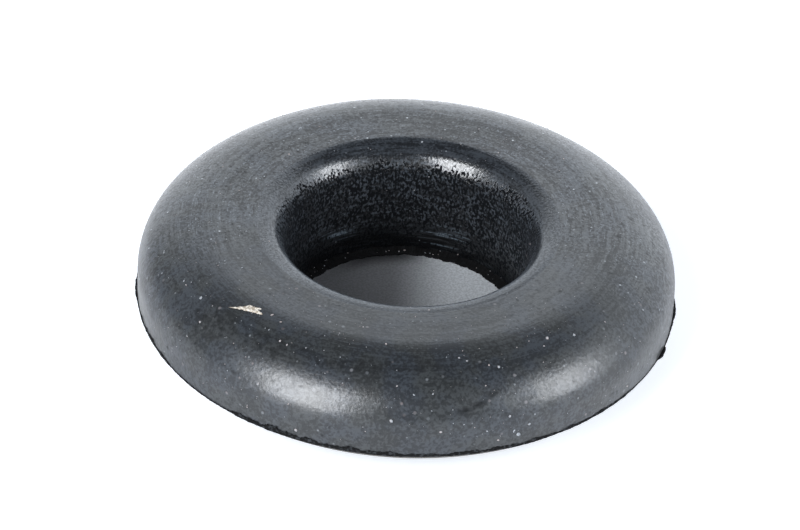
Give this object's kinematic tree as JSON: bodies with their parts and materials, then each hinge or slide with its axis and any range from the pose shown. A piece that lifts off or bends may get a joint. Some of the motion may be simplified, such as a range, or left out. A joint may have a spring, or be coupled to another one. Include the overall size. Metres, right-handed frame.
{
  "type": "rubber grommet",
  "caption": "Moulded rubber ring with a domed shoulder, a flat top, a straight bore with a wide rounded lip, and torn flash at the parting line.",
  "frame": {"origin": "on the bore's axis, in the plane of the flat base", "axes": "+Z along the bore's axis, from the base to the flat top with the wide lip"},
  "size_m": [0.0385, 0.0382, 0.0086],
  "materials": {
    "rubber": "matt moulded black rubber"
  },
  "bodies": {
    "root": {"grommet": "rubber"}
  },
  "joints": []
}
